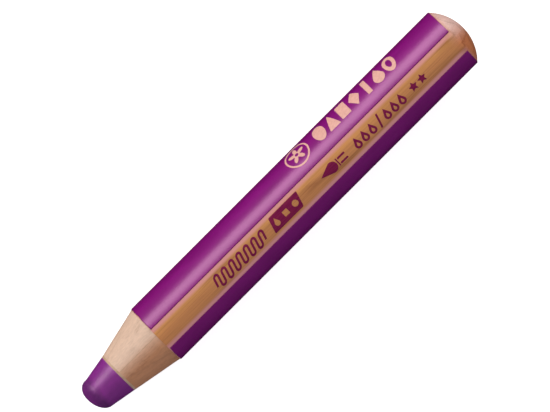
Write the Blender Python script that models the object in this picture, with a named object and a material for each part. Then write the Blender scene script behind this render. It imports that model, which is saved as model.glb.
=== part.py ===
"""Jumbo wood-cased crayon, built from its separate pieces.

The crayon lies along X on the surface z = 0: its sharpened tip points to -X and its domed end to +X.
The middle of its printed wood stripe faces up, and the origin is under the middle of its length.
Places round the barrel are angles in degrees from straight up, growing towards -Y. Round pieces have
flats, so that the crayon lies still on the one below, and a radius is measured to the flats.
"""

import math

import bmesh
import bpy
from mathutils import Matrix, Vector

MM = 0.001

# Driving dimensions
LENGTH = 112.1 * MM
BARREL_RADIUS = 7.5 * MM
LEAD_RADIUS = 4.9 * MM
LEAD_SHOWING = 8.6 * MM
CONE_LENGTH = 11.5 * MM
NOSE_RADIUS = 3.88 * MM
NOSE_DEPTH = 2.75 * MM
NOSE_LEAN = 0.5 * MM  # how far wear has pushed the nose over, back across the barrel's axis
DOME_HEIGHT = 3.0 * MM
SOLID_END = 10.0 * MM  # wood left between the end of the lead's groove and the top of the dome
SEAM_ANGLE = -11.5  # the plane in which the casing's halves are glued together
LEAD_OFFSET = 0.26 * MM  # how far the seam and the lead lie from the barrel's axis

# Films and glue lines, and the clearance that keeps neighbouring pieces apart
LACQUER = 0.10 * MM
VARNISH = 0.06 * MM
LEAD_GLUE = 0.06 * MM
SEAM_GLUE = 0.08 * MM
PRINT = 0.04 * MM
GAP = 0.03 * MM

# Round the barrel: three painted bands with a bare stripe between each two
STRIPES = 3
STRIPE_ANGLE = 45.0
FLATS = 24  # the middle one faces straight down, and the stripes' edges lie between two flats
FLAT_ANGLE = 360.0 / FLATS
FIRST_EDGE = FLAT_ANGLE / 2

# Printed marks
MARK_CENTRE = 0.0  # angle of the marks on the wood stripe
FOIL_CENTRE = -62.0  # angle of the foil marks on the painted band
FOIL_HEIGHT = 4.7 * MM
FOIL_WIDTH = 3.0 * MM
FOIL_FIRST_X = 18.6 * MM
FOIL_PITCH = 3.46 * MM
EMBLEM_X = 12.0 * MM
EMBLEM_RADIUS = 3.15 * MM
EMBLEM_LINE = 0.4 * MM
FLOWER_RADIUS = 2.15 * MM
FLOWER_HOLE = 0.45 * MM
SQUIGGLE_X = -12.0 * MM
SQUIGGLE_BENDS = 13
SQUIGGLE_BEND_RADIUS = 0.55 * MM
SQUIGGLE_STROKE = 1.7 * MM
SQUIGGLE_LINE = 0.5 * MM
BADGE_X = 1.8 * MM
BADGE_ANGLE = -2.0
BADGE_LENGTH = 8.3 * MM
BADGE_HEIGHT = 3.5 * MM
BADGE_WINDOW = 1.5 * MM
SLANT = 0.3  # how far the slanted marks lean forward, per unit of their height
BRUSH_TIP_X = 12.1 * MM
BRUSH_HEAD_LENGTH = 4.6 * MM
BRUSH_HEAD_RADIUS = 1.25 * MM
BRUSH_FERRULE = (0.28 * MM, 1.9 * MM)
BRUSH_SIDE = (2.05 * MM, 0.42 * MM)  # a stroke along each side of the brush's handle
BRUSH_SIDE_OUT = 0.62 * MM
BRUSH_SPACE = 0.22 * MM
DROP_FIRST_X = 22.8 * MM
DROP_PITCH = 2.19 * MM
DROP_RADIUS = 0.86 * MM
DROP_HEIGHT = 2.7 * MM
DROP_HOLE = 0.42  # the hole in a drop, as a share of the drop
SLASH = (0.45 * MM, 3.1 * MM)
STAR_FIRST_X = 39.6 * MM
STAR_PITCH = 2.5 * MM
STAR_RADIUS = 1.12 * MM
STAR_WAIST = 0.5

# Worked out from the above
AXIS_HEIGHT = BARREL_RADIUS
TIP_X = -LENGTH / 2
DOME_TOP_X = LENGTH / 2
WOOD_START_X = TIP_X + LEAD_SHOWING
BARREL_START_X = WOOD_START_X + CONE_LENGTH
BARREL_END_X = DOME_TOP_X - DOME_HEIGHT
GROOVE_END_X = DOME_TOP_X - SOLID_END
LACQUER_INSIDE = BARREL_RADIUS - LACQUER
VARNISH_OUTSIDE = LACQUER_INSIDE - GAP
VARNISH_INSIDE = VARNISH_OUTSIDE - VARNISH
WOOD_RADIUS = VARNISH_INSIDE - GAP
GROOVE_RADIUS = LEAD_RADIUS + LEAD_GLUE + 2 * GAP
CONE_SLOPE = (WOOD_RADIUS - LEAD_RADIUS) / CONE_LENGTH
SEAM_HALF = SEAM_GLUE / 2 + GAP
ALONG_SEAM = Matrix.Rotation(math.radians(SEAM_ANGLE), 3, "X") @ Vector((0.0, 0.0, 1.0))
ACROSS_SEAM = Matrix.Rotation(math.radians(SEAM_ANGLE), 3, "X") @ Vector((0.0, -1.0, 0.0))


# ---- Materials ----------------------------------------------------------------------------------

def material(name, colour, roughness, alpha=1.0):
    made = bpy.data.materials.new(name)
    made.use_nodes = True
    shader = made.node_tree.nodes["Principled BSDF"]
    shader.inputs["Base Color"].default_value = (*colour, 1.0)
    shader.inputs["Roughness"].default_value = roughness
    shader.inputs["Metallic"].default_value = 0.0
    shader.inputs["Alpha"].default_value = alpha
    return made


# ---- Profiles: lists of (x, radius) -------------------------------------------------------------

def cone_x(radius):
    """Where the sharpened cone has this radius about its own centre, which leads from the lead's
    axis to the barrel's."""
    return WOOD_START_X + (radius - LEAD_RADIUS) / CONE_SLOPE


def dome_arc(edge_radius, height, steps=8):
    """The dome from its edge at the barrel's end to its top on the axis, as a round cap."""
    sphere = (edge_radius**2 + height**2) / (2 * height)
    half_angle = math.asin(edge_radius / sphere)
    centre_x = BARREL_END_X + height - sphere
    angles = [half_angle * (1 - i / steps) for i in range(steps + 1)]
    return [(centre_x + sphere * math.cos(a), sphere * math.sin(a)) for a in angles[:-1]] + [
        (BARREL_END_X + height, 0.0)
    ]


def casing_profile():
    """Both halves together: the cone, the barrel, the dome and the blind groove for the lead."""
    dome = dome_arc(WOOD_RADIUS, DOME_HEIGHT - VARNISH - GAP)
    groove = [(GROOVE_END_X, 0.0), (GROOVE_END_X, GROOVE_RADIUS)]
    cone = [(cone_x(GROOVE_RADIUS), GROOVE_RADIUS), (BARREL_START_X, WOOD_RADIUS)]
    return groove + cone + dome


def lead_profile(steps=8):
    """A blunt worn nose, the tapered stretch that shows, and the rod inside the wood."""
    nose_x = TIP_X + NOSE_DEPTH
    angles = [math.radians(90) * i / steps for i in range(steps + 1)]
    nose = [(nose_x - NOSE_DEPTH * math.cos(a), NOSE_RADIUS * math.sin(a)) for a in angles]
    end_x = GROOVE_END_X - GAP
    return nose + [(WOOD_START_X, LEAD_RADIUS), (end_x, LEAD_RADIUS), (end_x, 0.0)]


def lead_glue_profile():
    inside = LEAD_RADIUS + GAP
    outside = inside + LEAD_GLUE
    return [
        (cone_x(inside), inside),
        (cone_x(outside), outside),
        (GROOVE_END_X - GAP, outside),
        (GROOVE_END_X - GAP, inside),
    ]


def varnish_profile():
    """A cup over the barrel and the dome, which ends square where the cone starts."""
    outside = [(BARREL_START_X, VARNISH_OUTSIDE)] + dome_arc(VARNISH_OUTSIDE, DOME_HEIGHT)
    inside = [(BARREL_START_X, VARNISH_INSIDE)]
    inside += dome_arc(VARNISH_INSIDE, DOME_HEIGHT - VARNISH)
    return inside[::-1] + outside


def lacquer_profile():
    return [
        (BARREL_START_X, LACQUER_INSIDE),
        (BARREL_START_X, BARREL_RADIUS),
        (BARREL_END_X, BARREL_RADIUS),
        (BARREL_END_X, LACQUER_INSIDE),
    ]


def seam_outline():
    """The glued face of a casing half: two long legs beside the lead, joined behind its end."""
    reach = GAP + cone_x(GROOVE_RADIUS)
    half = [(GROOVE_END_X, GROOVE_RADIUS), (reach, GROOVE_RADIUS), (BARREL_START_X, WOOD_RADIUS)]
    half += dome_arc(WOOD_RADIUS, DOME_HEIGHT - VARNISH - GAP)
    return half + [(x, -y) for x, y in half[-2::-1]]


# ---- Solids -------------------------------------------------------------------------------------

def add_object(name, bm, look, smooth=True):
    """Finish a mesh in the crayon's own axes, with its faces pointing out."""
    bmesh.ops.recalc_face_normals(bm, faces=bm.faces)
    mesh = bpy.data.meshes.new(name)
    bm.to_mesh(mesh)
    bm.free()
    if smooth:
        mesh.shade_smooth()
        mesh.set_sharp_from_angle(angle=math.radians(30))
    mesh.materials.append(look)
    made = bpy.data.objects.new(name, mesh)
    bpy.context.scene.collection.objects.link(made)
    made.parent = crayon_axis
    return made


def round_point(x, radius, angle):
    """A point on the flats this far from the crayon's axis, at an angle from straight up to -Y."""
    from_middle = (angle + FIRST_EDGE) % FLAT_ANGLE - FIRST_EDGE
    reach = radius / math.cos(math.radians(from_middle))
    turned_by = math.radians(angle)
    return (x, -reach * math.sin(turned_by), reach * math.cos(turned_by))


def spun(profile, closed, start, sweep):
    """The skin that a profile leaves as it turns about the crayon's axis."""
    bm = bmesh.new()
    points = [bm.verts.new(round_point(x, radius, start)) for x, radius in profile]
    ends = list(zip(points, points[1:]))
    if closed:
        ends.append((points[-1], points[0]))
    edges = [bm.edges.new(pair) for pair in ends]
    steps = round(sweep / FLAT_ANGLE)
    turned_to = bmesh.ops.spin(
        bm, geom=points + edges, cent=(0, 0, 0), axis=(1, 0, 0), angle=math.radians(sweep), steps=steps
    )
    last = [item for item in turned_to["geom_last"] if isinstance(item, bmesh.types.BMVert)]
    return bm, points, last


def turned_mesh(profile, closed):
    bm, _, _ = spun(profile, closed, FIRST_EDGE, 360.0)
    bmesh.ops.remove_doubles(bm, verts=bm.verts, dist=1e-7)
    return bm


def turned(name, profile, look, closed=False):
    """A fully round piece. An open profile starts and ends on the axis."""
    return add_object(name, turned_mesh(profile, closed), look)


def move_to_lead(verts):
    """Move vertices from the barrel's axis to the lead's."""
    for vert in verts:
        vert.co += LEAD_OFFSET * ACROSS_SEAM


def casing_half(name, side, look):
    """The casing's thinner half (side 1) or its thicker half (side -1), each with half the groove."""
    bm = turned_mesh(casing_profile(), closed=True)
    before_dome = [vert for vert in bm.verts if vert.co.x < GROOVE_END_X + GAP]
    move_to_lead(vert for vert in before_dome if vert.co.yz.length < WOOD_RADIUS - GAP)
    everything = bm.verts[:] + bm.edges[:] + bm.faces[:]
    place = (LEAD_OFFSET + side * SEAM_HALF) * ACROSS_SEAM
    facing = -side * ACROSS_SEAM
    cut = bmesh.ops.bisect_plane(bm, geom=everything, plane_co=place, plane_no=facing, clear_outer=True)
    rim = [item for item in cut["geom_cut"] if isinstance(item, bmesh.types.BMEdge)]
    bmesh.ops.holes_fill(bm, edges=rim)
    return add_object(name, bm, look)


def build_lead(look, glue):
    bm = turned_mesh(lead_profile(), closed=False)
    move_to_lead(bm.verts)
    for vert in bm.verts:
        worn = max(0.0, 1.0 - (vert.co.x - TIP_X) / NOSE_DEPTH)
        vert.co -= worn * NOSE_LEAN * ACROSS_SEAM
    add_object("lead_core", bm, look)
    ring = turned_mesh(lead_glue_profile(), closed=True)
    move_to_lead(ring.verts)
    add_object("lead_glue", ring, glue)


def band(name, profile, start, sweep, look):
    """A strip of film on part of the barrel's round."""
    bm, first, last = spun(profile, True, start, sweep)
    bm.faces.new(first)
    bm.faces.new(last)
    return add_object(name, bm, look)


def seam_sheet(name, thickness, look):
    """The glue line: a flat plate in the seam's plane."""
    bm = bmesh.new()
    base = (LEAD_OFFSET - thickness / 2) * ACROSS_SEAM
    points = [base + Vector((x, 0.0, 0.0)) + out * ALONG_SEAM for x, out in seam_outline()]
    face = bm.faces.new([bm.verts.new(point) for point in points])
    raised = bmesh.ops.extrude_face_region(bm, geom=[face])
    top = [item for item in raised["geom"] if isinstance(item, bmesh.types.BMVert)]
    bmesh.ops.translate(bm, verts=top, vec=thickness * ACROSS_SEAM)
    return add_object(name, bm, look, smooth=False)


# ---- Printed films ------------------------------------------------------------------------------

def flat_film(loops):
    """A thin flat plate with these closed outlines; an outline inside another one is a hole."""
    curve = bpy.data.curves.new("outline", "CURVE")
    curve.dimensions = "2D"
    curve.fill_mode = "BOTH"
    curve.extrude = PRINT / 2
    for loop in loops:
        spline = curve.splines.new("POLY")
        spline.points.add(len(loop) - 1)
        for point, (u, v) in zip(spline.points, loop):
            point.co = (u, v, 0.0, 1.0)
        spline.use_cyclic_u = True
    drawn = bpy.data.objects.new("outline", curve)
    mesh = bpy.data.meshes.new_from_object(drawn)
    bpy.data.objects.remove(drawn)
    bpy.data.curves.remove(curve)
    bm = bmesh.new()
    bm.from_mesh(mesh)
    bpy.data.meshes.remove(mesh)
    bmesh.ops.remove_doubles(bm, verts=bm.verts, dist=1e-7)
    return bm


def printed(name, loops, centre_x, centre_angle, surface_radius, look):
    """Wrap a flat mark round the barrel. Its first axis runs along +X, and its top faces +Y."""
    bm = flat_film(loops)
    middle = surface_radius + GAP + PRINT / 2
    for flat in range(FLATS):
        edge_angle = FIRST_EDGE + flat * FLAT_ANGLE
        away = (edge_angle - centre_angle + 180.0) % 360.0 - 180.0
        line = -math.radians(away) * middle
        everything = bm.verts[:] + bm.edges[:] + bm.faces[:]
        bmesh.ops.bisect_plane(bm, geom=everything, plane_co=(0, line, 0), plane_no=(0, 1, 0))
    for vert in bm.verts:
        u, v, w = vert.co
        vert.co = round_point(centre_x + u, middle + w, centre_angle - math.degrees(v / middle))
    return add_object(name, bm, look, smooth=False)


def ellipse(half_width, half_height, points=24):
    angles = [2 * math.pi * i / points for i in range(points)]
    return [(half_width * math.cos(a), half_height * math.sin(a)) for a in angles]


def disc(radius, points):
    return ellipse(radius, radius, points)


def slab(width, height, slant=0.0):
    """A four-sided mark whose top leans forward by slant times its height."""
    lean = slant * height / 2
    right, top = width / 2, height / 2
    return [(-right - lean, -top), (right - lean, -top), (right + lean, top), (-right + lean, top)]


def drop(radius, height, steps=10):
    """A round bottom drawn out to a point at the top, centred on its height."""
    centre = radius - height / 2
    tangent = math.asin(radius / (height - radius))
    start = math.pi - tangent
    sweep = math.pi + 2 * tangent
    angles = [start + sweep * i / steps for i in range(steps + 1)]
    return [(radius * math.cos(a), centre + radius * math.sin(a)) for a in angles] + [(0.0, height / 2)]


def flower(radius, petals=5, points=40):
    angles = [2 * math.pi * i / points for i in range(points)]
    reach = [radius * (0.68 + 0.32 * math.sin(petals * a)) for a in angles]
    return [(r * math.cos(a), r * math.sin(a)) for r, a in zip(reach, angles)]


def star(radius, waist, points=5):
    corners = []
    for i in range(2 * points):
        reach = radius * (waist if i % 2 else 1.0)
        angle = math.radians(90) + math.pi * i / points
        corners.append((reach * math.cos(angle), reach * math.sin(angle)))
    return corners


def moved(loop, u, v=0.0, scale=1.0):
    return [(u + scale * a, v + scale * b) for a, b in loop]


def quarter_turned(loop):
    """The loop with its top turned to face the crayon's tip."""
    return [(-v, u) for u, v in loop]


def squiggle(arc_steps=6):
    """A scribbled line that runs up and down the stripe: straight strokes joined by half turns."""
    centre_line = []
    reach = SQUIGGLE_STROKE / 2
    for bend in range(SQUIGGLE_BENDS):
        centre_u = (2 * bend + 1 - SQUIGGLE_BENDS) * SQUIGGLE_BEND_RADIUS
        side = 1 if bend % 2 == 0 else -1
        for step in range(arc_steps + 1):
            turn = math.pi * step / arc_steps
            out = (-math.cos(turn), side * math.sin(turn))
            centre_line.append((centre_u, side * reach, out, side))
    half_line = SQUIGGLE_LINE / 2
    outer = SQUIGGLE_BEND_RADIUS + half_line
    inner = SQUIGGLE_BEND_RADIUS - half_line
    left, right = [], []
    for u, v, out, side in centre_line:
        to_left, to_right = (outer, inner) if side == 1 else (inner, outer)
        left.append((u + to_left * out[0], v + to_left * out[1]))
        right.append((u + to_right * out[0], v + to_right * out[1]))
    start = (left[0][0], -reach), (right[0][0], -reach)
    end_v = -reach if SQUIGGLE_BENDS % 2 else reach
    end = (left[-1][0], end_v), (right[-1][0], end_v)
    outline = [start[0]] + left + [end[0], end[1]] + right[::-1] + [start[1]]
    return [(u + SLANT * v, v) for u, v in outline]


def foil_shapes():
    """The seven bold shapes in the foil row, by name."""
    wide, tall = FOIL_WIDTH / 2, FOIL_HEIGHT / 2
    return {
        "oval": [ellipse(wide, tall)],
        "triangle": [[(-wide, -tall), (wide, -tall), (0.0, tall)]],
        "block": [slab(FOIL_WIDTH * 0.85, FOIL_HEIGHT * 0.94)],
        "diamond": [[(0.0, -tall), (wide, 0.0), (0.0, tall), (-wide, 0.0)]],
        "bar": [slab(FOIL_WIDTH * 0.4, FOIL_HEIGHT)],
        "drop": [drop(wide * 0.95, FOIL_HEIGHT)],
        "ring": [ellipse(wide, tall), ellipse(wide * 0.45, tall * 0.55)],
    }


# ---- The crayon's pieces ------------------------------------------------------------------------

def build_wood_and_lead():
    wood = material("cedar_wood", (0.66, 0.45, 0.27), 0.75)
    glue = material("wood_glue", (0.78, 0.66, 0.46), 0.5)
    casing_half("casing_half_thin", 1, wood)
    casing_half("casing_half_thick", -1, wood)
    seam_sheet("seam_glue", SEAM_GLUE, glue)
    build_lead(material("wax_lead", (0.20, 0.025, 0.19), 0.45), glue)


def build_coats():
    turned("varnish_coat", varnish_profile(), material("clear_varnish", (0.62, 0.36, 0.16), 0.25))
    purple = material("purple_lacquer", (0.20, 0.008, 0.15), 0.2)
    repeat = 360.0 / STRIPES
    for number in range(STRIPES):
        start = STRIPE_ANGLE / 2 + number * repeat
        band(f"lacquer_band_{number + 1}", lacquer_profile(), start, repeat - STRIPE_ANGLE, purple)


def build_foil_marks():
    foil = material("pale_foil", (0.83, 0.58, 0.42), 0.35)
    ring = [disc(EMBLEM_RADIUS, 28), disc(EMBLEM_RADIUS - EMBLEM_LINE, 28)]
    petals = [flower(FLOWER_RADIUS), disc(FLOWER_HOLE, 10)]
    printed("foil_emblem_ring", ring, EMBLEM_X, FOIL_CENTRE, BARREL_RADIUS, foil)
    printed("foil_emblem_flower", petals, EMBLEM_X, FOIL_CENTRE, BARREL_RADIUS, foil)
    for number, (shape, loops) in enumerate(foil_shapes().items()):
        x = FOIL_FIRST_X + number * FOIL_PITCH
        printed(f"foil_{shape}", loops, x, FOIL_CENTRE, BARREL_RADIUS, foil)


def build_brush_mark(ink):
    head_x = BRUSH_TIP_X + BRUSH_HEAD_LENGTH / 2
    head = quarter_turned(drop(BRUSH_HEAD_RADIUS, BRUSH_HEAD_LENGTH))
    printed("ink_brush_head", [head], head_x, MARK_CENTRE, VARNISH_OUTSIDE, ink)
    ferrule_x = BRUSH_TIP_X + BRUSH_HEAD_LENGTH + BRUSH_SPACE + BRUSH_FERRULE[0] / 2
    printed("ink_brush_ferrule", [slab(*BRUSH_FERRULE)], ferrule_x, MARK_CENTRE, VARNISH_OUTSIDE, ink)
    side_x = ferrule_x + BRUSH_FERRULE[0] / 2 + BRUSH_SPACE + BRUSH_SIDE[0] / 2
    for number, out in ((1, BRUSH_SIDE_OUT), (2, -BRUSH_SIDE_OUT)):
        loops = [moved(slab(*BRUSH_SIDE), 0.0, out)]
        printed(f"ink_brush_side_{number}", loops, side_x, MARK_CENTRE, VARNISH_OUTSIDE, ink)


def build_drop_row(ink):
    """Three drops, a slash and three drops."""
    loops = [drop(DROP_RADIUS, DROP_HEIGHT)]
    loops.append(moved(loops[0], 0.0, v=-0.12 * DROP_HEIGHT, scale=DROP_HOLE))
    slash_place = 3
    number = 0
    for place in range(2 * slash_place + 1):
        x = DROP_FIRST_X + place * DROP_PITCH
        if place == slash_place:
            printed("ink_slash", [slab(*SLASH, SLANT)], x, MARK_CENTRE, VARNISH_OUTSIDE, ink)
            continue
        number += 1
        printed(f"ink_drop_{number}", loops, x, MARK_CENTRE, VARNISH_OUTSIDE, ink)


def build_badge(ink):
    """A slanted badge with a drop, a square and a disc left open in it."""
    third = BADGE_LENGTH / 3
    loops = [
        slab(BADGE_LENGTH, BADGE_HEIGHT, SLANT),
        moved(drop(BADGE_WINDOW * 0.42, BADGE_WINDOW * 1.3), -third),
        slab(BADGE_WINDOW * 0.9, BADGE_WINDOW * 0.9),
        moved(disc(BADGE_WINDOW * 0.5, 14), third),
    ]
    printed("ink_badge", loops, BADGE_X, BADGE_ANGLE, VARNISH_OUTSIDE, ink)


def build_ink_marks():
    ink = material("dark_ink", (0.13, 0.008, 0.05), 0.45)
    printed("ink_squiggle", [squiggle()], SQUIGGLE_X, MARK_CENTRE, VARNISH_OUTSIDE, ink)
    build_badge(ink)
    build_brush_mark(ink)
    build_drop_row(ink)
    for number in (1, 2):
        x = STAR_FIRST_X + (number - 1) * STAR_PITCH
        loops = [star(STAR_RADIUS, STAR_WAIST)]
        printed(f"ink_star_{number}", loops, x, MARK_CENTRE, VARNISH_OUTSIDE, ink)


for leftover in list(bpy.data.objects):
    bpy.data.objects.remove(leftover)

crayon_axis = bpy.data.objects.new("crayon_axis", None)
crayon_axis.location = (0.0, 0.0, AXIS_HEIGHT)
bpy.context.scene.collection.objects.link(crayon_axis)

build_wood_and_lead()
build_coats()
build_foil_marks()
build_ink_marks()
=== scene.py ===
"""The looks of a jumbo wood-cased crayon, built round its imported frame.

The crayon lies along X, with its sharpened tip at -X and its domed end at +X. Places round the barrel
are angles in degrees from straight up, growing towards -Y, and lengths are in metres.
"""

import math

import bmesh
import bpy
from mathutils import Matrix, Vector, noise


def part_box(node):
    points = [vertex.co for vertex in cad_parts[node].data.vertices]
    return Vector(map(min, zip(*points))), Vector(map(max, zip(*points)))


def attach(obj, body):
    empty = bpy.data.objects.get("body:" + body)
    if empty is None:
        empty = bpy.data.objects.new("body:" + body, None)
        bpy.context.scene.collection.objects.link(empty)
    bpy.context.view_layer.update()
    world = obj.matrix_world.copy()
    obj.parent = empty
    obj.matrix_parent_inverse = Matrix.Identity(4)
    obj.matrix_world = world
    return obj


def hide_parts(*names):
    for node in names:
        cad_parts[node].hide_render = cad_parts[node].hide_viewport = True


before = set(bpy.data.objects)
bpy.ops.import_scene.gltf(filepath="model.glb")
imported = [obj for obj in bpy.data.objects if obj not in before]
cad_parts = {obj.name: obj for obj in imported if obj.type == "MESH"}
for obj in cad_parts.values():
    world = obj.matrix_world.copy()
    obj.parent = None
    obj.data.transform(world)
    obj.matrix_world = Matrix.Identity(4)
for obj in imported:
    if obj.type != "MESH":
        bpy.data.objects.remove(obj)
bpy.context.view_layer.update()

MM = 0.001

# ---- Sizes from the frame -----------------------------------------------------------------------

lead_low, lead_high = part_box("lead_core")
glue_low, glue_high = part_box("lead_glue")
wood_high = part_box("casing_half_thick")[1]
coat_low, coat_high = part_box("varnish_coat")
band_low, band_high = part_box("lacquer_band_1")

AXIS_Z = (coat_low.z + coat_high.z) / 2
BARREL_RADIUS = AXIS_Z  # to the paint's surface, because the barrel lies on z = 0
LEAD_GLUE_RADIUS = (glue_high.y - glue_low.y) / 2
COAT_RADIUS = (coat_high.y - coat_low.y) / 2
TIP_X = lead_low.x
DOME_TOP_X = coat_high.x
BARREL_START_X = band_low.x
BARREL_END_X = band_high.x
DOME_HEIGHT = DOME_TOP_X - BARREL_END_X
GROOVE_END_X = lead_high.x

FRAME_GAP = 0.03 * MM  # the clearance between one piece of the frame and the next
LEAD_GLUE = 0.06 * MM
VARNISH = 0.06 * MM
FILM = 0.03 * MM
GAP = 0.01 * MM
LEAD_RADIUS = LEAD_GLUE_RADIUS - LEAD_GLUE - FRAME_GAP
WOOD_RADIUS = COAT_RADIUS - VARNISH - GAP
GROOVE_RADIUS = LEAD_GLUE_RADIUS + GAP
PAINT_INSIDE = COAT_RADIUS + GAP
SEAM_HALF = 0.04 * MM

# The lead lies a little off the barrel's axis, and the casing's halves meet in the plane through it
lead_middle = (glue_low + glue_high) / 2
TO_LEAD = Vector((0.0, lead_middle.y, lead_middle.z - AXIS_Z))
ACROSS_SEAM = TO_LEAD.normalized()
ALONG_SEAM = Vector((1.0, 0.0, 0.0)).cross(ACROSS_SEAM)

# The sharpened cone runs from the lead's glue to the barrel
GLUE_INSIDE = LEAD_RADIUS + FRAME_GAP
CONE_SLOPE = (wood_high.y - GLUE_INSIDE) / (BARREL_START_X - glue_low.x)

# The worn tip of the lead
NOSE_RADIUS = 3.88 * MM
NOSE_DEPTH = 2.75 * MM
NOSE_LEAN = 0.5 * MM
# The same length also sets where the painted shade ring round the nose lies
WORN_AND_SHADED_LENGTH = 4.4  # how far use has dulled the lead, in millimetres

# The pinker line on the wood beside the paint is a painted highlight along each stripe's edges: how far from
# the paint it is full, and gone, in degrees
HIGHLIGHT_LINE_FULL, HIGHLIGHT_LINE_GONE = 4.0, 9.0

# The dome's own tone comes in from just before the dome's edge
DOME_TONE_BEFORE, DOME_TONE_LENGTH = 1.0 * MM, 1.6 * MM

# The paint: how far up the barrel it starts, how much that edge wanders, and the soft lip all round
PAINT_BACK, PAINT_WANDER, PAINT_LIP = 0.12 * MM, 0.6 * MM, 0.16 * MM
PAINT_RIM_HEIGHT = 0.35  # the film's height at its very edge, as a share of its full height

# Three painted bands with a varnished wood stripe between each two
STRIPES = 3
STRIPE_ANGLE = 45.0
REPEAT_ANGLE = 360.0 / STRIPES

EDGE_ROUND = 0.35 * MM
ROUND_STEPS = 240
CORNER_STEPS = 5


def cone_x(radius):
    """Where the sharpened cone has this radius."""
    return glue_low.x + (radius - GLUE_INSIDE) / CONE_SLOPE


def held(value):
    """The value, held between 0 and 1."""
    return max(0.0, min(1.0, value))


# ---- Building nodes -----------------------------------------------------------------------------

def put(tree, socket, value):
    """Link an output to the socket, or set the socket's value."""
    if isinstance(value, bpy.types.NodeSocket):
        tree.links.new(value, socket)
    elif value is not None:
        socket.default_value = value


def add_node(tree, kind, inputs=None, **settings):
    made = tree.nodes.new(kind)
    for name, value in settings.items():
        setattr(made, name, value)
    for key, value in (inputs or {}).items():
        put(tree, made.inputs[key], value)
    return made


def maths(tree, operation, *values):
    made = add_node(tree, "ShaderNodeMath", operation=operation)
    for socket, value in zip(made.inputs, values):
        put(tree, socket, value)
    return made.outputs[0]


def ramp(tree, factor, stops):
    """A colour ramp; each stop is a place and a grey value or a colour."""
    made = add_node(tree, "ShaderNodeValToRGB", {"Fac": factor})
    elements = made.color_ramp.elements
    while len(elements) < len(stops):
        elements.new(0.5)
    for element, (place, colour) in zip(elements, stops):
        element.position = place
        element.color = (*colour, 1.0) if isinstance(colour, tuple) else (colour,) * 3 + (1.0,)
    return made.outputs["Color"]


def blend_colours(tree, factor, first, second):
    made = add_node(tree, "ShaderNodeMix", data_type="RGBA")
    put(tree, made.inputs[0], factor)
    for socket, value in ((made.inputs[6], first), (made.inputs[7], second)):
        put(tree, socket, (*value, 1.0) if isinstance(value, tuple) else value)
    return made.outputs[2]


# ---- Materials ----------------------------------------------------------------------------------

def new_material(name, roughness, **constants):
    """A material with its shader's steady values set on the shader itself."""
    made = bpy.data.materials.new(name)
    made.use_nodes = True
    tree = made.node_tree
    shader = tree.nodes["Principled BSDF"]
    shader.inputs["Roughness"].default_value = roughness
    for key, value in constants.items():
        shader.inputs[key.replace("_", " ")].default_value = value
    return made, tree, shader


def crayon_millimetres(tree, squeeze=(1.0, 1.0, 1.0), shift=(0.0, 0.0, 0.0)):
    """Object coordinates in millimetres from the crayon's axis; a squeeze below 1 makes a pattern longer."""
    place = add_node(tree, "ShaderNodeTexCoord").outputs["Object"]
    scale = tuple(part / MM for part in squeeze)
    offset = (shift[0], shift[1], shift[2] - AXIS_Z * scale[2])
    mapping = add_node(tree, "ShaderNodeMapping", {"Vector": place, "Location": offset, "Scale": scale})
    return mapping.outputs["Vector"]


def crayon_axes(tree):
    """X, Y and Z in millimetres from the crayon's axis."""
    return add_node(tree, "ShaderNodeSeparateXYZ", {"Vector": crayon_millimetres(tree)}).outputs


def speckle(tree, squeeze, detail=3.0, roughness=0.55, shift=(0.0, 0.0, 0.0)):
    """Cloudy noise from 0 to 1; squeeze is its fineness along, across and up, per millimetre."""
    values = {"Vector": crayon_millimetres(tree, squeeze, shift), "Scale": 1.0}
    values.update({"Detail": detail, "Roughness": roughness})
    return add_node(tree, "ShaderNodeTexNoise", values).outputs["Fac"]


def about_zero(tree, noise_value):
    """Noise moved so that its middle is 0."""
    return maths(tree, "SUBTRACT", noise_value, 0.5)


def mottled(tree, cloud, deep, bright):
    """A colour that drifts between two near ones with a cloud of noise."""
    return ramp(tree, cloud, [(0.3, deep), (0.7, bright)])


def stored_share(tree, name):
    """A share from 0 to 1 that the piece keeps on its own points."""
    return add_node(tree, "ShaderNodeAttribute", attribute_name=name).outputs["Fac"]


def bump(tree, shader, height, distance, strength):
    values = {"Height": height, "Distance": distance, "Strength": strength}
    put(tree, shader.inputs["Normal"], add_node(tree, "ShaderNodeBump", values).outputs["Normal"])


def past_seam(tree, axes):
    """How far a place in the wood lies past the seam, into the casing's thin half, in millimetres."""
    across = maths(tree, "MULTIPLY", axes["Y"], ACROSS_SEAM.y)
    across = maths(tree, "MULTIPLY_ADD", axes["Z"], ACROSS_SEAM.z, across)
    return maths(tree, "SUBTRACT", across, TO_LEAD.length / MM)


def golden_and_shaded_share(tree, before, after, at_seam):
    """0 in the pale sapwood of the thick half, 1 in the thin half's heart; it turns beside the seam. The
    pale half lies on the lit side and the golden half on the shaded side, so this share also lays painted
    light and painted shade over the wood's own two tones.
    """
    past = past_seam(tree, crayon_axes(tree))
    past = maths(tree, "DIVIDE", maths(tree, "ADD", past, before), before + after)
    seam = before / (before + after)
    jump = [(seam - 0.01, at_seam - SEAM_JUMP), (seam + 0.01, at_seam + SEAM_JUMP)]
    return ramp(tree, past, [(0.0, 0.0), *jump, (1.0, 1.0)])


# Growth layers lie nearly flat: their spacing in millimetres, and how they climb along and across
RING_SPACING, RING_CLIMB_ALONG, RING_CLIMB_ACROSS = 2.3, 0.035, 0.22
# How far the layers shift at the seam and wander inside a half, in spacings
RING_SHIFT, RING_WANDER = 0.45, 1.9


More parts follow.
